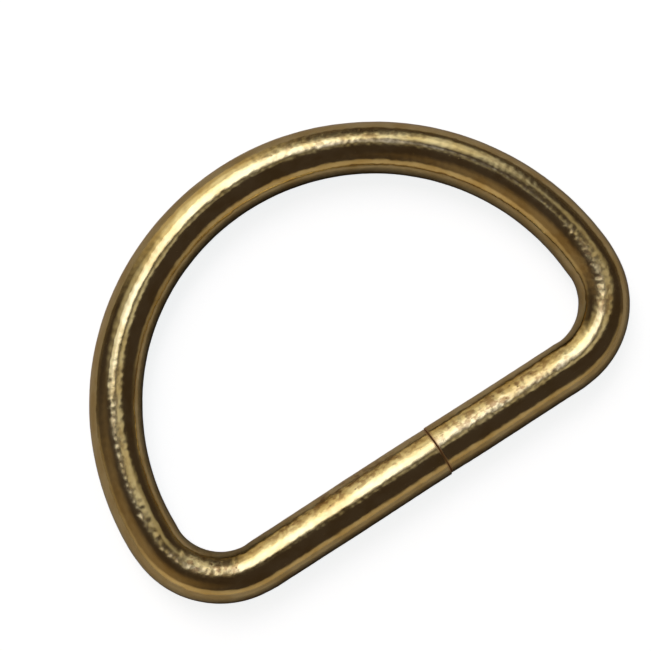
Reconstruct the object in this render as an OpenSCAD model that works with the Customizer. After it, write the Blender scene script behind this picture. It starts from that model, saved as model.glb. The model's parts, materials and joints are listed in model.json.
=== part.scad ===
// A plain D ring: one length of round wire, bent round into a D, with its two cut ends
// butted together on the straight bar. It lies flat on the plane z = 0. The bar runs
// along X on the -Y side, and the half-round arch is on the +Y side.

/* [Opening] */
// Clear width inside the ring, which is the width of webbing that it takes
inner_w = 38; // [20:0.5:60]
// Inside radius of the bend at each end of the bar
bend_r = 4; // [1:0.1:8]
// Straight stretch of each side, between its bend and the arch
leg_len = 0; // [0:0.5:20]

/* [Wire] */
// Diameter of the round wire
wire_d = 4.3; // [2:0.1:6]

/* [Joint] */
// Gap left between the two cut ends of the wire
joint_gap = 0.15; // [0.05:0.05:1]
// Place of the joint along the bar, counted from its middle
joint_x = 2; // [-4:0.5:4]
// Width of the broken edge round each cut end
end_bevel = 0.2; // [0.05:0.05:0.5]

/* [Hidden] */
$fn = 96;

BRASS = [0.80, 0.62, 0.25];
wire_r = wire_d / 2;

// Radii of the line that runs down the middle of the wire
line_bend_r = bend_r + wire_r;
line_arch_r = inner_w / 2 + wire_r;

// The ring's middle height is on y = 0: the bar's line, the bends' centres and the arch's
line_h = line_bend_r + leg_len + line_arch_r;
bar_y = -line_h / 2;
bend_y = bar_y + line_bend_r;
arch_y = bend_y + leg_len;
bend_x = line_arch_r - line_bend_r;

// A stretch of wire bent at radius r about z, turning by sweep from +X
module bent_wire(r, sweep) {
    rotate_extrude(angle = sweep)
        translate([r, 0])
            circle(r = wire_r);
}

// A straight stretch of wire along +X
module straight_wire(len) {
    rotate([0, 90, 0])
        cylinder(r = wire_r, h = len);
}

// A straight stretch along +X whose cut end, at the origin, has a broken edge
module cut_wire(len) {
    rotate([0, 90, 0])
        cylinder(r1 = wire_r - end_bevel, r2 = wire_r, h = end_bevel);
    translate([end_bevel, 0, 0])
        straight_wire(len - end_bevel);
}

// The wire on the +X side: from a cut end at x = start, along the bar, round the bend
// and up the leg to where the arch begins
module side(start) {
    translate([start, bar_y, 0])
        cut_wire(bend_x - start);
    translate([bend_x, bend_y, 0])
        rotate([0, 0, -90])
            bent_wire(line_bend_r, 90);
    if (leg_len > 0)
        translate([line_arch_r, bend_y, 0])
            rotate([0, 0, 90])
                straight_wire(leg_len);
}

// The half circle that joins the two sides over the crown
module arch() {
    translate([0, arch_y, 0])
        bent_wire(line_arch_r, 180);
}

module d_ring() {
    color(BRASS)
        translate([0, 0, wire_r])
            union() {
                arch();
                side(joint_gap / 2 + joint_x);
                mirror([1, 0, 0])
                    side(joint_gap / 2 - joint_x);
            }
}

d_ring();
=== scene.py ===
"""A D ring of polished brass-coloured wire, lying flat on a pale surface.

The ring is one bent wire with its two cut ends butted together on the straight bar. Its surface is a
tube carried along the line down the middle of the wire, with the small faults that cropping, bending
and tumbling leave on a real one: cut ends slipped a little out of line, bends pressed a little flat,
a soft orange-peel texture, dents, and rubbed patches where the finish is grainy.
"""

import json
import logging
from dataclasses import dataclass, field
from enum import Enum
from typing import NamedTuple

import bpy
import numpy as np
from bpy.types import NodeSocket
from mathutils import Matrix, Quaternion, Vector


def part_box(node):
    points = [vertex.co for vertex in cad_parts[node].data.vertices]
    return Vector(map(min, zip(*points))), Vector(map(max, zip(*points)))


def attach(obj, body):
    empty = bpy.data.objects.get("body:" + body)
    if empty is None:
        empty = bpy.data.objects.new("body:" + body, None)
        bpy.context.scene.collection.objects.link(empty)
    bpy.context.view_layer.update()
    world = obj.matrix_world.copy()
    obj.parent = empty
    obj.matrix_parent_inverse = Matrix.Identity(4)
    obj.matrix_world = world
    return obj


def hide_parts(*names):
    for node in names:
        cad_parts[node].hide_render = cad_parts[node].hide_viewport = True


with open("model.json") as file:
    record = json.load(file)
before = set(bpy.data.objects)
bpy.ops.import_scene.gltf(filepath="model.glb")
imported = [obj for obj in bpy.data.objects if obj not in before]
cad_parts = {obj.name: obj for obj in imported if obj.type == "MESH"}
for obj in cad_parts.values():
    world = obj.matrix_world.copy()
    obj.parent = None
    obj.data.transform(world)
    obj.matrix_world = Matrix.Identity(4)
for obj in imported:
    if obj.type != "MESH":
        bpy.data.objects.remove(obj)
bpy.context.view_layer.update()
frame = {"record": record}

log = logging.getLogger("d_ring")

MM = 0.001

Colour = tuple[float, float, float]
Feed = NodeSocket | Vector | tuple[float, float, float] | float


class Slot(Enum):
    """The record's material slots."""

    BRASS_WIRE = "brass_wire"


class Mark(Enum):
    """The vertex attributes that carry a place or a finish from the mesh to its material."""

    WIRE_PLACE = "wire_place"
    RUBBED = "rubbed"
    CUT = "cut"


class Mix(Enum):
    """What a Mix node mixes: its data type, and the numbers of its two inputs and its output."""

    NUMBER = ("FLOAT", 2, 3, 0)
    COLOUR = ("RGBA", 6, 7, 2)


class Span(NamedTuple):
    """The two ends of a range of values, which may fall from the start to the end."""

    start: float
    end: float


class Cloud(NamedTuple):
    """Cloudy noise: its features in a millimetre along and across the wire, and its detail."""

    along: float
    across: float
    detail: float

    @property
    def scale(self) -> tuple[float, float, float]:
        """Features in a millimetre each way in the straightened wire."""
        return self.along, self.across, self.across


class Patch(NamedTuple):
    """A rubbed, grainy patch of the finish. Angles are from the top, and positive is inwards."""

    place_mm: float
    angle_deg: float
    length_mm: float
    breadth_deg: float
    strength: float


class Dent(NamedTuple):
    """A small knock in the wire. Angles are from the top, and positive is inwards."""

    place_mm: float
    angle_deg: float
    width_mm: float
    depth_mm: float


class LineFrames(NamedTuple):
    """Points on the line down the middle of the wire, with the way inwards, one row for each."""

    point: np.ndarray
    inward: np.ndarray
    curvature: np.ndarray


class WireSurface(NamedTuple):
    """The wire's surface on a grid of rows along the wire by columns round it."""

    points: np.ndarray
    straight: np.ndarray
    rubbed: np.ndarray
    cut: np.ndarray


@dataclass(frozen=True)
class WireLine:
    """The line down the middle of the wire, in millimetres.

    It starts at the cut end on the +X side of the joint, runs along the bar, and goes round
    anticlockwise to the other cut end. A stretch is straight or an arc, and each begins where the
    last one ends, in the same direction.
    """

    arch_r: float
    bend_r: float
    leg: float
    joint_x: float
    gap: float
    height: float

    @classmethod
    def from_frame(cls, joint_x: float, gap: float) -> "WireLine":
        """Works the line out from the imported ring's box and the length of its bar.

        Args:
            joint_x: Place of the joint along X.
            gap: Gap between the cut ends.

        Returns:
            The line down the middle of the wire.
        """
        low, high = (np.array(corner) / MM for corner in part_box("d_ring"))
        size = high - low
        bar = next(mount for mount in frame["record"]["mounts"] if mount["name"] == "strap_bar")
        arch_r = (size[0] - size[2]) / 2
        bend_r = arch_r - bar["dims"]["length_mm"] / 2
        leg = size[1] - size[2] - arch_r - bend_r
        return cls(arch_r, bend_r, max(leg, 0.0), joint_x, gap, size[2] / 2)

    def stretches(self) -> np.ndarray:
        """Lists the stretches of the line in order.

        Returns:
            A row for each stretch, with its length and its curvature.
        """
        bar_half = self.arch_r - self.bend_r
        quarter = np.pi / 2 * self.bend_r
        return np.array([
            [bar_half - self.joint_x - self.gap / 2, 0.0],
            [quarter, 1 / self.bend_r],
            [self.leg, 0.0],
            [np.pi * self.arch_r, 1 / self.arch_r],
            [self.leg, 0.0],
            [quarter, 1 / self.bend_r],
            [bar_half + self.joint_x - self.gap / 2, 0.0],
        ])

    @property
    def length(self) -> float:
        """Length of the wire from one cut end to the other."""
        return float(self.stretches()[:, 0].sum())

    def at(self, place: np.ndarray) -> LineFrames:
        """Finds points on the line.

        A point is the corner where its stretch begins, plus the way from there. A corner is the
        first cut end plus the ways along all the stretches before it. The heading at a point is
        what the line has turned before its stretch, plus curvature times length.

        Args:
            place: Lengths along the wire from its first cut end.

        Returns:
            The points, with their directions towards the middle of the ring, and their curvature.
        """
        length, curve = self.stretches().T
        ends = np.cumsum(length)
        turned = np.cumsum(length * curve) - length * curve
        bar_y = -(self.bend_r + self.leg + self.arch_r) / 2
        start = np.array([[self.joint_x + self.gap / 2, bar_y]])
        corners = np.cumsum(np.concatenate([start, self.way(length, curve, turned)[:-1]]), axis=0)
        part = np.clip(np.searchsorted(ends, place), 0, len(length) - 1)
        within = place - (ends - length)[part]
        flat = corners[part] + self.way(within, curve[part], turned[part])
        heading = turned[part] + curve[part] * within
        return LineFrames(
            np.column_stack([flat, np.full_like(place, self.height)]),
            np.column_stack([-np.sin(heading), np.cos(heading), np.zeros_like(place)]),
            curve[part],
        )

    @staticmethod
    def way(span: np.ndarray, curve: np.ndarray, heading: np.ndarray) -> np.ndarray:
        """Works out how far the line moves in X and Y over a length.

        On a straight stretch it moves by the length times the heading's cosine and sine. On an arc
        it moves by the change of the heading's sine and of its minus cosine, over the curvature.

        Args:
            span: Lengths gone.
            curve: Curvature on each length.
            heading: Heading at the start of each length.

        Returns:
            The move in X and Y, one row for each length.
        """
        is_arc = curve != 0
        safe = np.where(is_arc, curve, 1.0)
        end = heading + curve * span
        across = np.where(is_arc, (np.sin(end) - np.sin(heading)) / safe, span * np.cos(heading))
        up = np.where(is_arc, (np.cos(heading) - np.cos(end)) / safe, span * np.sin(heading))
        return np.column_stack([across, up])


@dataclass(frozen=True)
class Waves:
    """A soft random relief: sine waves in random directions, all of about one wave length."""

    seed: int
    wave_length: float
    height: float
    count: int = 40
    spread: Span = Span(0.7, 1.5)

    def relief(self, points: np.ndarray) -> np.ndarray:
        """Works out the relief, which spreads by about its height to either side of zero.

        A wave's number is two pi over the wave length, times a random value from the spread. The
        wave is the sine of a point's dot product with its direction, times its number, plus a
        random phase. The sum of the waves is scaled by the root of two over their count.

        Args:
            points: Places in the straightened wire, in millimetres, one row for each.

        Returns:
            One height for each point, in millimetres.
        """
        rng = np.random.default_rng(self.seed)
        direction = rng.normal(size=(self.count, 3))
        direction /= np.linalg.norm(direction, axis=1, keepdims=True)
        number = 2 * np.pi / self.wave_length * rng.uniform(*self.spread, (self.count, 1))
        wave = direction * number
        phase = rng.uniform(0, 2 * np.pi, self.count)
        return self.height * np.sqrt(2 / self.count) * np.sin(points @ wave.T + phase).sum(axis=1)


@dataclass(frozen=True)
class NodeSketch:
    """A short way to add nodes to one material or world and link them."""

    tree: bpy.types.NodeTree

    def link(self, source: NodeSocket, target: NodeSocket) -> None:
        """Links one socket to another."""
        self.tree.links.new(source, target)

    def feed(self, value: Feed, target: NodeSocket) -> None:
        """Links a socket to an input, or sets a number, a vector or a colour on it.

        Args:
            value: What the input gets.
            target: The input.
        """
        if isinstance(value, NodeSocket):
            self.link(value, target)
        elif target.type == "RGBA":
            target.default_value = (*value, 1.0)
        else:
            target.default_value = value

    def add(self, kind: str, output: str | int, feeds: dict[str | int, Feed],
            **options: object) -> NodeSocket:
        """Adds a node, sets its options and feeds its inputs.

        Args:
            kind: The node's type, without the words ShaderNode.
            output: Name or number of the output that is wanted.
            feeds: What each input gets, by the input's name or number.
            options: The node's own options.

        Returns:
            The output that is wanted.
        """
        node = self.tree.nodes.new("ShaderNode" + kind)
        for option, value in options.items():
            setattr(node, option, value)
        for name, value in feeds.items():
            self.feed(value, node.inputs[name])
        return node.outputs[output]

    def attribute(self, mark: Mark, output: str) -> NodeSocket:
        """Reads one of the mesh's attributes."""
        return self.add("Attribute", output, {}, attribute_name=mark.value)

    def camera_ray(self) -> NodeSocket:
        """Gives 1 to a ray straight from the camera and 0 to every other ray."""
        return self.add("LightPath", "Is Camera Ray", {})

    def noise(self, place: NodeSocket, cloud: Cloud) -> NodeSocket:
        """Draws cloudy noise from 0 to 1."""
        scaled = self.add("Mapping", "Vector", {"Vector": place, "Scale": cloud.scale})
        return self.add("TexNoise", "Fac", {"Vector": scaled, "Scale": 1.0, "Detail": cloud.detail})

    def cells(self, place: NodeSocket, scale: float) -> NodeSocket:
        """Gives the distance to the nearest of many scattered points, in shares of their spacing."""
        return self.add("TexVoronoi", "Distance", {"Vector": place, "Scale": scale})

    def dot(self, first: NodeSocket, second: Vector) -> NodeSocket:
        """Takes the dot product with a fixed vector."""
        return self.add("VectorMath", "Value", {0: first, 1: second}, operation="DOT_PRODUCT")

    def maths(self, kind: str, first: Feed, second: Feed) -> NodeSocket:
        """Takes one sum, product or power."""
        return self.add("Math", "Value", {0: first, 1: second}, operation=kind)

    def steps(self, value: NodeSocket, edges: Span) -> NodeSocket:
        """Goes smoothly from 0 where the value is at the start to 1 where it is at the end."""
        feeds = {"Value": value, "From Min": edges.start, "From Max": edges.end}
        return self.add("MapRange", "Result", feeds, interpolation_type="SMOOTHSTEP")

    def between(self, value: NodeSocket, ends: Span) -> NodeSocket:
        """Takes a value of 0 to the start and a value of 1 to the end."""
        return self.add("MapRange", "Result", {"Value": value, "To Min": ends.start, "To Max": ends.end})

    def mix(self, share: Feed, first: Feed, second: Feed, what: Mix = Mix.COLOUR,
            blend: str = "MIX") -> NodeSocket:
        """Mixes two numbers or colours.

        Args:
            share: How much of the second there is.
            first: The first number or colour.
            second: The second number or colour.
            what: Whether they are numbers or colours.
            blend: How colours are put together.

        Returns:
            The mixture.
        """
        data_type, one, other, output = what.value
        feeds = {0: share, one: first, other: second}
        return self.add("Mix", output, feeds, data_type=data_type, blend_type=blend)

    def add_colour(self, first: NodeSocket, second: NodeSocket) -> NodeSocket:
        """Adds two colours."""
        return self.mix(1.0, first, second, blend="ADD")

    def bump(self, height: NodeSocket, depth_mm: float, normal: NodeSocket | None = None) -> NodeSocket:
        """Tilts the surface as a relief would, over another relief if there is one.

        Args:
            height: The relief, from 0 to 1.
            depth_mm: Its height at 1, which is below zero for hollows.
            normal: What the other relief left of the surface's direction.

        Returns:
            The tilted direction.
        """
        feeds = {"Height": height, "Distance": abs(depth_mm * MM)}
        if normal is not None:
            feeds["Normal"] = normal
        return self.add("Bump", "Normal", feeds, invert=depth_mm < 0)


@dataclass(frozen=True)
class BrassFinish:
    """Polished brass plate: soft drawing lines, fine grain, pits, rubbed patches and dull cut ends.

    The colour goes between bright and deep by the tone's clouds, and to tarnish in the pits and in
    the rubbed patches' flecks. Heights and depths are in millimetres.
    """

    name: str = "brass_plate"
    bright: Colour = (0.88, 0.725, 0.37)
    deep: Colour = (0.74, 0.555, 0.23)
    tarnish: Colour = (0.30, 0.15, 0.05)
    tarnish_share: float = 0.75
    cut_face: Colour = (0.55, 0.30, 0.14)
    polished_to_rubbed_roughness: Span = Span(0.10, 0.25)
    cut_roughness: float = 0.55
    tone: Cloud = Cloud(0.45, 0.7, 4.0)
    tone_edges: Span = Span(0.35, 0.68)
    fleck: Cloud = Cloud(1.5, 2.2, 4.0)
    fleck_edges: Span = Span(0.46, 0.62)
    fleck_roughness: Span = Span(-0.06, 0.08)
    grain: Cloud = Cloud(3.4, 4.2, 5.0)
    polished_to_rubbed_grain: Span = Span(0.35, 1.0)
    grain_height: float = 0.010
    lines: Cloud = Cloud(0.16, 9.0, 3.0)
    line_roughness: Span = Span(-0.03, 0.04)
    line_height: float = 0.0012
    pits_per_mm: float = 1.7
    pit_clusters: Cloud = Cloud(0.5, 0.6, 2.0)
    pit_reach: Span = Span(-0.30, 0.30)
    polished_to_rubbed_reach: Span = Span(0.0, 0.10)
    pit_edges: Span = Span(0.0, 0.07)
    pit_depth: float = 0.012

    def material(self) -> bpy.types.Material:
        """Builds the finish.

        Returns:
            The material, whose patterns read the mesh's own attributes in millimetres.
        """
        made = bpy.data.materials.new(self.name)
        made.use_nodes = True
        sketch = NodeSketch(made.node_tree)
        shader = made.node_tree.nodes["Principled BSDF"]
        shader.inputs["Metallic"].default_value = 1.0
        place = sketch.attribute(Mark.WIRE_PLACE, "Vector")
        rubbed = sketch.attribute(Mark.RUBBED, "Fac")
        cut = sketch.attribute(Mark.CUT, "Fac")
        fleck = sketch.noise(place, self.fleck)
        lines = sketch.noise(place, self.lines)
        pit = self.pits(sketch, place, rubbed)

        clouds = sketch.steps(sketch.noise(place, self.tone), self.tone_edges)
        flecked = sketch.maths("MULTIPLY", sketch.steps(fleck, self.fleck_edges), rubbed)
        colour = sketch.mix(clouds, self.bright, self.deep)
        for spots in (flecked, pit):
            share = sketch.maths("MULTIPLY", spots, self.tarnish_share)
            colour = sketch.mix(share, colour, self.tarnish)
        sketch.link(sketch.mix(cut, colour, self.cut_face), shader.inputs["Base Color"])

        rough = sketch.between(rubbed, self.polished_to_rubbed_roughness)
        rough = sketch.maths("ADD", rough, sketch.between(fleck, self.fleck_roughness))
        rough = sketch.maths("ADD", rough, sketch.between(lines, self.line_roughness))
        rough = sketch.mix(cut, rough, self.cut_roughness, Mix.NUMBER)
        sketch.link(rough, shader.inputs["Roughness"])

        share = sketch.between(rubbed, self.polished_to_rubbed_grain)
        grain = sketch.maths("MULTIPLY", sketch.noise(place, self.grain), share)
        normal = sketch.bump(grain, self.grain_height)
        normal = sketch.bump(lines, self.line_height, normal)
        sketch.link(sketch.bump(pit, -self.pit_depth, normal), shader.inputs["Normal"])
        return made

    def pits(self, sketch: NodeSketch, place: NodeSocket, rubbed: NodeSocket) -> NodeSocket:
        """Scatters small round pits in clusters, with more of them where the wire is rubbed.

        A pit is where the distance to the nearest scattered point is less than a reach, which
        grows with the clusters' clouds and with the rubbing.

        Args:
            sketch: The material's nodes.
            place: The place in the straightened wire.
            rubbed: How rubbed the wire is.

        Returns:
            1 in a pit and 0 beside it.
        """
        clusters = sketch.between(sketch.noise(place, self.pit_clusters), self.pit_reach)
        more = sketch.between(rubbed, self.polished_to_rubbed_reach)
        reach = sketch.maths("ADD", clusters, more)
        inside = sketch.maths("SUBTRACT", reach, sketch.cells(place, self.pits_per_mm))
        return sketch.steps(inside, self.pit_edges)


@dataclass
class BentWire:
    """The ring's one piece: a round wire bent to a D, with its cut ends butted on the bar.

    Lengths are in millimetres. Places along the wire are counted from the first cut end, on the
    +X side of the joint. Angles round it are from the top, and positive is towards the middle of
    the ring. The slips are the first and the last cut end's.
    """

    line: WireLine
    wire_r: float
    name: str = "bent_wire"
    rows: int = 1000
    columns: int = 96
    rim_r: float = 0.09
    rim_rows: int = 6
    face_rows: int = 4
    end_slip_in: tuple[float, float] = (0.05, -0.04)
    end_slip_up: tuple[float, float] = (0.06, 0.0)
    slip_reach: float = 7.0
    dull_reach: float = 0.27
    bend_press: float = 0.035
    press_rows: int = 15
    texture: tuple[Waves, ...] = (
        Waves(seed=3, wave_length=14.0, height=0.012),
        Waves(seed=5, wave_length=3.2, height=0.0025),
        Waves(seed=8, wave_length=0.80, height=0.0022),
    )
    grain: Waves = Waves(seed=13, wave_length=0.62, height=0.0060, count=60)
    polished_grain: float = 0.2
    patches: tuple[Patch, ...] = (
        Patch(6.5, 24, 15.0, 56, 1.0),
        Patch(21.0, 4, 9.0, 56, 0.9),
        Patch(31.0, -26, 16.0, 34, 0.4),
        Patch(47.0, -22, 16.0, 34, 0.7),
        Patch(81.0, 4, 18.0, 24, 0.5),
        Patch(94.0, 18, 7.0, 60, 1.0),
        Patch(107.0, 44, 20.0, 50, 1.0),
    )
    dents: tuple[Dent, ...] = (
        Dent(22.5, 8, 0.55, 0.010),
        Dent(24.0, 14, 0.45, 0.009),
        Dent(25.6, 10, 0.60, 0.012),
        Dent(27.3, 18, 0.40, 0.008),
        Dent(9.0, 22, 0.70, 0.015),
        Dent(60.5, -24, 0.90, 0.020),
        Dent(86.5, -2, 0.60, 0.016),
    )
    dent_lip: float = 0.6
    finish: BrassFinish = field(default_factory=BrassFinish)

    def profile(self) -> tuple[np.ndarray, np.ndarray]:
        """Places the grid's rows along the wire, with their radius as a share of the wire's.

        A cut end is a flat face out to its rim, and a quarter circle over the rim.

        Returns:
            The places, and the shares of the wire's radius.
        """
        rim = self.rim_r / self.wire_r
        face = (1 - rim) * np.arange(1, self.face_rows + 1) / self.face_rows
        turn = np.linspace(0, np.pi / 2, self.rim_rows + 1)[1:]
        end_place = np.concatenate([np.zeros(self.face_rows), self.rim_r * (1 - np.cos(turn))])
        end_share = np.concatenate([face, 1 - rim + rim * np.sin(turn)])
        length = self.line.length
        body = np.linspace(self.rim_r, length - self.rim_r, self.rows)[1:-1]
        place = np.concatenate([end_place, body, length - end_place[::-1]])
        share = np.concatenate([end_share, np.ones(len(body)), end_share[::-1]])
        return place, share

    def near_ends(self, place: np.ndarray, reach: float) -> tuple[np.ndarray, np.ndarray]:
        """Tells how near each place is to the first and to the last cut end.

        It is the square of one less the distance to the end, as a share of the reach.

        Args:
            place: Places along the wire.
            reach: Distance from an end at which it is 0.

        Returns:
            The nearness to the first end and to the last one, from 0 to 1.
        """
        first = np.clip(1 - place / reach, 0, 1) ** 2
        last = np.clip(1 - (self.line.length - place) / reach, 0, 1) ** 2
        return first, last

    def straightened(self, place: np.ndarray, angle: np.ndarray) -> np.ndarray:
        """Gives the surface's points in the straightened wire, which patterns read."""
        return np.stack([place, self.wire_r * np.sin(angle), self.wire_r * np.cos(angle)], axis=-1)

    @staticmethod
    def turn_from(angle: np.ndarray, middle_deg: float) -> np.ndarray:
        """Gives the turn from a middle in degrees to each angle, the short way, in radians."""
        return np.angle(np.exp(1j * (angle - np.radians(middle_deg))))

    def rubbed(self, place: np.ndarray, angle: np.ndarray) -> np.ndarray:
        """Tells how rubbed the surface is.

        A patch is its strength times the exponential of minus the cube of the distance from its
        middle, in shares of its half sizes. Where patches meet, the greater holds.

        Args:
            place: Places along the wire.
            angle: Angles round it, in radians.

        Returns:
            A value from 0 to 1 for each point.
        """
        amount = np.zeros_like(place)
        for patch in self.patches:
            along = (place - patch.place_mm) / (patch.length_mm / 2)
            around = np.degrees(self.turn_from(angle, patch.angle_deg)) / (patch.breadth_deg / 2)
            amount = np.maximum(amount, patch.strength * np.exp(-(along ** 2 + around ** 2) ** 1.5))
        return amount

    def dented(self, place: np.ndarray, angle: np.ndarray) -> np.ndarray:
        """Adds up the depths of the knocks.

        A knock is its depth times the exponential of minus the square of the distance from its
        middle, in shares of its half width. It is also times one less the lip times that square,
        which leaves a low lip round it, where metal was pushed up.

        Args:
            place: Places along the wire.
            angle: Angles round it, in radians.

        Returns:
            The depth at each point, in millimetres.
        """
        depth = np.zeros_like(place)
        for dent in self.dents:
            around = self.wire_r * self.turn_from(angle, dent.angle_deg)
            away = np.hypot(place - dent.place_mm, around) / (dent.width_mm / 2)
            depth += dent.depth_mm * (1 - self.dent_lip * away ** 2) * np.exp(-away ** 2)
        return depth

    def pressed(self, curvature: np.ndarray) -> np.ndarray:
        """Tells how far the tight bends are pressed in at their sides.

        It is the press times the wire's radius, times what the line's curvature is over the
        arch's, as a share of the bends' curvature. That share is smoothed along the wire by a
        rounded average over some rows, and is never below 0.

        Args:
            curvature: Curvature of the line at each row.

        Returns:
            How much smaller the wire's radius is at the sides of each row, in millimetres.
        """
        bend = (curvature - 1 / self.line.arch_r) * self.line.bend_r
        weights = np.hanning(self.press_rows + 2)[1:-1]
        padded = np.pad(bend, self.press_rows // 2, mode="edge")
        smooth = np.convolve(padded, weights / weights.sum(), mode="valid")
        return self.bend_press * self.wire_r * np.clip(smooth, 0, 1)

    def surface(self) -> WireSurface:
        """Works out the tube on a grid of rows along the wire and columns round it.

        A point is the line's point, plus the radius times the cosine of the angle up and its sine
        inwards. The radius is the wire's, less the press of the bends, which goes by the square of
        the sine, and the dents, plus the texture and the grain. Near a cut end the line slips
        sideways and up. Nothing reaches below the surface that the ring lies on.

        Returns:
            The points in millimetres, with the straightened place, rubbed and cut values of each.
        """
        row_place, share = self.profile()
        turns = np.linspace(0, 2 * np.pi, self.columns, endpoint=False)
        place, angle = np.meshgrid(row_place, turns, indexing="ij")
        straight = self.straightened(place, angle)
        rubbed = self.rubbed(place, angle)

        line = self.line.at(row_place)
        radius = self.wire_r - self.pressed(line.curvature)[:, None] * np.sin(angle) ** 2
        flat = straight.reshape(-1, 3)
        relief = sum(waves.relief(flat) for waves in self.texture)
        grain_share = self.polished_grain + (1 - self.polished_grain) * rubbed.ravel()
        relief = relief + self.grain.relief(flat) * grain_share
        radius = radius + relief.reshape(place.shape) - self.dented(place, angle)
        radius = radius * share[:, None]

        first, last = self.near_ends(row_place, self.slip_reach)
        slip_in = first * self.end_slip_in[0] + last * self.end_slip_in[1]
        slip_up = first * self.end_slip_up[0] + last * self.end_slip_up[1]
        inwards = (radius * np.sin(angle) + slip_in[:, None])[..., None]
        points = line.point[:, None, :] + inwards * line.inward[:, None, :]
        points[..., 2] += radius * np.cos(angle) + slip_up[:, None]
        points[..., 2] = np.maximum(points[..., 2], 0.0)

        cut = np.clip(sum(self.near_ends(row_place, self.dull_reach)), 0, 1)
        return WireSurface(points, straight, rubbed, np.broadcast_to(cut[:, None], place.shape))

    def piece(self) -> bpy.types.Object:
        """Builds the wire's mesh, dresses it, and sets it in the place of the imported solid.

        Returns:
            The finished object, at the origin and in metres.
        """
        surface = self.surface()
        mesh = closed_tube(self.name, surface.points * MM)
        add_attribute(mesh, Mark.WIRE_PLACE, surface.straight)
        add_attribute(mesh, Mark.RUBBED, surface.rubbed)
        add_attribute(mesh, Mark.CUT, surface.cut)
        mesh.materials.append(self.finish.material())
        made = bpy.data.objects.new(self.name, mesh)
        bpy.context.scene.collection.objects.link(made)
        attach(made, "root")
        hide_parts("d_ring")
        log.info("%s: %d faces, %.1f mm of wire", self.name, len(mesh.polygons), self.line.length)
        return made


def closed_tube(name: str, points: np.ndarray) -> bpy.types.Mesh:
    """Makes a mesh from a grid that closes on itself round the wire, with a pole at each end.

    Each cell of the grid is a four-sided face. The first and last rows are closed by a fan of
    triangles to a point at their middle.

    Args:
        name: Name of the mesh.
        points: Grid of points, rows along the wire by columns round it.

    Returns:
        The mesh, shaded smooth, with its faces pointing outwards.
    """
    rows, columns = points.shape[:2]
    poles = points[[0, -1]].mean(axis=1)
    vertices = np.concatenate([points.reshape(-1, 3), poles])
    index = np.arange(rows * columns).reshape(rows, columns)
    after = np.roll(index, -1, axis=1)
    quads = np.stack([index[:-1], index[1:], after[1:], after[:-1]], axis=-1).reshape(-1, 4)
    pole = np.full(columns, rows * columns)
    start_fan = np.stack([pole, index[0], after[0]], axis=-1)
    end_fan = np.stack([pole + 1, after[-1], index[-1]], axis=-1)
    corners = np.concatenate([quads.ravel(), start_fan.ravel(), end_fan.ravel()])
    sides = np.concatenate([np.full(len(quads), 4), np.full(2 * columns, 3)])
    mesh = bpy.data.meshes.new(name)
    mesh.vertices.add(len(vertices))
    mesh.vertices.foreach_set("co", vertices.astype(np.float32).ravel())
    mesh.loops.add(len(corners))
    mesh.loops.foreach_set("vertex_index", corners.astype(np.int32))
    mesh.polygons.add(len(sides))
    mesh.polygons.foreach_set("loop_start", (np.cumsum(sides) - sides).astype(np.int32))
    mesh.update(calc_edges=True)
    mesh.validate()
    mesh.shade_smooth()
    return mesh


def add_attribute(mesh: bpy.types.Mesh, mark: Mark, values: np.ndarray) -> None:
    """Stores a value or a vector for each point of a closed tube's grid, and for its two poles.

    Args:
        mesh: Mesh from closed_tube.
        mark: Which attribute it is.
        values: The grid's values, with a last axis of three for a vector.
    """
    is_vector = values.ndim == 3
    poles = values[[0, -1]].mean(axis=1)
    flat = np.concatenate([values.reshape(-1, 3) if is_vector else values.ravel(), poles])
    kind = "FLOAT_VECTOR" if is_vector else "FLOAT"
    made = mesh.attributes.new(mark.value, kind, "POINT")
    made.data.foreach_set("vector" if is_vector else "value", flat.astype(np.float32).ravel())


def direction_from(azimuth: float, elevation: float) -> Vector:
    """Gives the unit vector from the ring towards an azimuth and elevation in degrees.

    Args:
        azimuth: 0 is the -Y side, and it grows anticlockwise seen from above.
        elevation: Angle above the floor.

    Returns:
        The direction.
    """
    turn, rise = np.radians([azimuth, elevation])
    return Vector((np.sin(turn) * np.cos(rise), -np.cos(turn) * np.cos(rise), np.sin(rise)))


@dataclass(frozen=True)
class SoftLight:
    """A flat rectangular lamp that faces the ring, in metres and degrees."""

    name: str
    azimuth: float
    elevation: float
    distance: float
    width: float
    depth: float
    turn: float
    brightness: float
    colour: Colour

    def hang(self) -> None:
        """Adds the lamp to the scene. Its power is brightness times pi times its area."""
        data = bpy.data.lights.new(self.name, "AREA")
        data.shape = "RECTANGLE"
        data.size, data.size_y = self.width, self.depth
        data.energy = self.brightness * np.pi * self.width * self.depth
        data.color = self.colour
        made = bpy.data.objects.new(self.name, data)
        direction = direction_from(self.azimuth, self.elevation)
        made.location = direction * self.distance
        made.rotation_mode = "QUATERNION"
        spin = Quaternion((0, 0, 1), np.radians(self.turn))
        made.rotation_quaternion = (-direction).to_track_quat("-Z", "Y") @ spin
        made.visible_camera = False
        bpy.context.scene.collection.objects.link(made)


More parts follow.
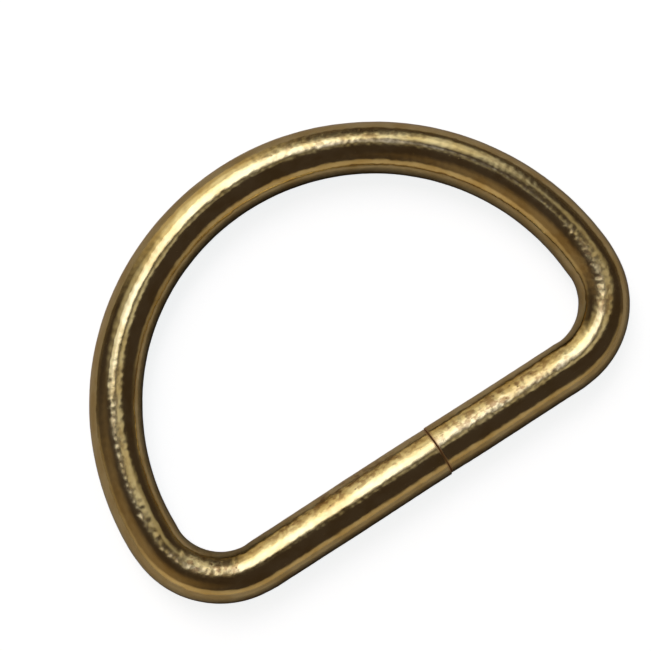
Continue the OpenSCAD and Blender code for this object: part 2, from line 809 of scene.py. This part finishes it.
@dataclass(frozen=True)
class SoftPatch:
    """A soft-edged patch of light on the walls of the room, with its half sizes in degrees."""

    azimuth: float
    elevation: float
    half_width: float
    half_height: float
    brightness: float
    colour: Colour
    softness: float
    corner_power: float = 4.0

    def light(self, sketch: NodeSketch, direction: NodeSocket) -> NodeSocket:
        """Lights the patch.

        A direction's offset from the middle of the patch, as a share of the patch's half sizes,
        is the dot products with the patch's own sideways and upward vectors. The two are raised
        to the corner power and added, and the sum's root of that power gives a rounded rectangle.
        The light fades from one less the softness to one plus it.

        Args:
            sketch: The world's nodes.
            direction: The direction looked at.

        Returns:
            The colour that the patch adds there.
        """
        middle = direction_from(self.azimuth, self.elevation)
        sideways = Vector((0, 0, 1)).cross(middle).normalized()
        upward = middle.cross(sideways)
        across = sketch.dot(direction, sideways / np.sin(np.radians(self.half_width)))
        along = sketch.dot(direction, upward / np.sin(np.radians(self.half_height)))
        powers = sketch.maths("ADD", sketch.maths("POWER", across, self.corner_power),
                              sketch.maths("POWER", along, self.corner_power))
        away = sketch.maths("POWER", powers, 1 / self.corner_power)
        inside = sketch.steps(away, Span(1 + self.softness, 1 - self.softness))
        facing = sketch.maths("GREATER_THAN", sketch.dot(direction, middle), 0.0)
        share = sketch.maths("MULTIPLY", inside, facing)
        bright = tuple(self.brightness * part for part in self.colour)
        return sketch.mix(share, (0.0, 0.0, 0.0), bright)


@dataclass(frozen=True)
class Studio:
    """The pale floor, the dim room that the brass mirrors, the soft lights and the camera.

    Lengths are in metres and angles in degrees. The patches are, in order: the window's core, the
    glow above it, below it and at its foot, the wall on its -X side, three of the wall on its +X
    side, a small light high on the +X side, the dim wall on the -X side, and the wall behind the
    camera.
    """

    floor_half: float = 3.0
    floor_colour: Colour = (0.86, 0.77, 0.66)
    floor_glow: Colour = (0.80, 0.83, 0.85)
    floor_roughness: float = 0.9
    floor_gloss: float = 0.1
    # Painted shade: near the wire's foot, the floor's colour seen in the brass is darkened, leaning
    # towards the window like a cast shadow.
    painted_shade_reach: float = 0.009
    painted_shade_lean: tuple[float, float] = (-160.0, 28.0)
    painted_shade_power: float = 3.0
    painted_shade_samples: int = 6
    air_colour: Colour = (1.0, 1.0, 1.0)
    high_mirrored: Colour = (0.044, 0.033, 0.029)
    low_mirrored: Colour = (0.08, 0.062, 0.046)
    high_to_low: Span = Span(0.34, 0.12)
    camera_azimuth: float = -33.0
    camera_elevation: float = 81.0
    camera_distance: float = 0.222
    camera_near: float = 0.01
    lens: float = 150.0
    aim: tuple[float, float, float] = (0.0, 0.0, 0.002)
    lights: tuple[SoftLight, ...] = (
        SoftLight(
            name="window", azimuth=178.0, elevation=60.0, distance=0.60, width=0.29, depth=0.38,
            turn=-43.0, brightness=0.82, colour=(0.97, 0.99, 1.08),
        ),
    )
    patches: tuple[SoftPatch, ...] = (
        SoftPatch(174.0, 63.0, 10.0, 13.0, 0.88, (0.92, 1.0, 1.50), 0.45),
        SoftPatch(174.0, 77.0, 7.0, 5.0, 0.22, (1.0, 1.0, 0.95), 0.4),
        SoftPatch(177.0, 36.0, 12.0, 13.0, 0.68, (1.0, 0.96, 0.84), 0.6),
        SoftPatch(-178.0, 12.0, 16.0, 16.0, 0.44, (1.0, 0.86, 0.60), 0.6),
        SoftPatch(-164.0, 43.0, 12.0, 11.0, 0.36, (1.0, 0.95, 0.80), 0.6),
        SoftPatch(145.0, 51.0, 10.0, 10.0, 0.64, (0.97, 0.97, 0.95), 0.6),
        SoftPatch(130.0, 36.0, 9.0, 14.0, 0.55, (0.97, 0.97, 0.92), 0.4),
        SoftPatch(99.0, 48.0, 10.0, 8.0, 0.30, (1.0, 0.96, 0.80), 0.5),
        SoftPatch(86.0, 69.0, 6.0, 14.5, 0.54, (1.0, 0.98, 0.90), 0.4),
        SoftPatch(-85.0, 34.0, 27.0, 21.0, 0.15, (1.0, 0.72, 0.40), 0.65),
        SoftPatch(-33.0, 12.0, 66.0, 12.0, 0.32, (1.0, 0.82, 0.58), 0.4),
    )

    def build(self) -> None:
        """Builds the whole studio."""
        self.floor()
        self.air()
        for light in self.lights:
            light.hang()
        self.camera()
        view = bpy.context.scene.view_settings
        view.view_transform = "Standard"
        view.look = "None"
        log.info("studio: %d lights, %d soft patches", len(self.lights), len(self.patches))

    def floor(self) -> None:
        """Lays a plain floor, which looks white to the camera and tan in the brass, with painted shade
        at the wire's foot.
        """
        half = self.floor_half
        mesh = bpy.data.meshes.new("floor")
        corners = [(-half, -half, 0), (half, -half, 0), (half, half, 0), (-half, half, 0)]
        mesh.from_pydata(corners, [], [(0, 1, 2, 3)])
        mesh.materials.append(self.floor_material())
        made = bpy.data.objects.new("floor", mesh)
        bpy.context.scene.collection.objects.link(made)

    def floor_material(self) -> bpy.types.Material:
        """Colours the floor.

        It glows only to the camera. To every other ray its colour carries painted shade at the wire's
        foot:
        it is times a power of the share of a leaning half dome, as wide as the shade's reach, that the
        ring leaves open.

        Returns:
            The floor's material.
        """
        made = bpy.data.materials.new("pale_floor")
        made.use_nodes = True
        sketch = NodeSketch(made.node_tree)
        shader = made.node_tree.nodes["Principled BSDF"]
        shader.inputs["Roughness"].default_value = self.floor_roughness
        shader.inputs["Specular IOR Level"].default_value = self.floor_gloss
        shader.inputs["Emission Color"].default_value = (*self.floor_glow, 1.0)
        # Painted shade: the floor's colour is darkened where the ring hides a leaning half dome, as a
        # contact shadow seen only in the brass.
        lean = sketch.add("CombineXYZ", "Vector", dict(enumerate(direction_from(*self.painted_shade_lean))))
        around = {"Distance": self.painted_shade_reach, "Normal": lean}
        open_share = sketch.add("AmbientOcclusion", "AO", around, samples=self.painted_shade_samples)
        share = sketch.maths("POWER", open_share, self.painted_shade_power)
        share = sketch.maths("MAXIMUM", share, sketch.camera_ray())
        colour = sketch.mix(share, (0.0, 0.0, 0.0), self.floor_colour)
        sketch.link(colour, shader.inputs["Base Color"])
        sketch.link(sketch.camera_ray(), shader.inputs["Emission Strength"])
        return made

    def air(self) -> None:
        """Fills the room with light.

        To the camera it is white. In the brass it is dim, and goes from its high colour to its low
        one as a direction's rise falls, and the soft patches add their light to it.
        """
        world = bpy.data.worlds.new("pale_room")
        world.use_nodes = True
        sketch = NodeSketch(world.node_tree)
        direction = sketch.add("TexCoord", "Generated", {})
        rise = sketch.add("SeparateXYZ", "Z", {"Vector": direction})
        low = sketch.steps(rise, self.high_to_low)
        mirrored = sketch.mix(low, self.high_mirrored, self.low_mirrored)
        for patch in self.patches:
            mirrored = sketch.add_colour(mirrored, patch.light(sketch, direction))
        seen = sketch.mix(sketch.camera_ray(), mirrored, self.air_colour)
        sketch.link(seen, world.node_tree.nodes["Background"].inputs["Color"])
        bpy.context.scene.world = world

    def camera(self) -> None:
        """Sets the camera at the photograph's angle to the ring."""
        data = bpy.data.cameras.new("camera")
        data.lens = self.lens
        data.clip_start = self.camera_near
        made = bpy.data.objects.new("camera", data)
        back = direction_from(self.camera_azimuth, self.camera_elevation)
        made.location = Vector(self.aim) + back * self.camera_distance
        made.rotation_mode = "QUATERNION"
        made.rotation_quaternion = (-back).to_track_quat("-Z", "Y")
        bpy.context.scene.collection.objects.link(made)
        bpy.context.scene.camera = made


def main() -> None:
    """Builds the ring and then the studio."""
    logging.basicConfig(level=logging.INFO, format="%(name)s: %(message)s")
    line = WireLine.from_frame(joint_x=2.0, gap=0.02)
    BentWire(line, wire_r=line.height).piece()
    Studio().build()


if __name__ == "__main__":
    main()
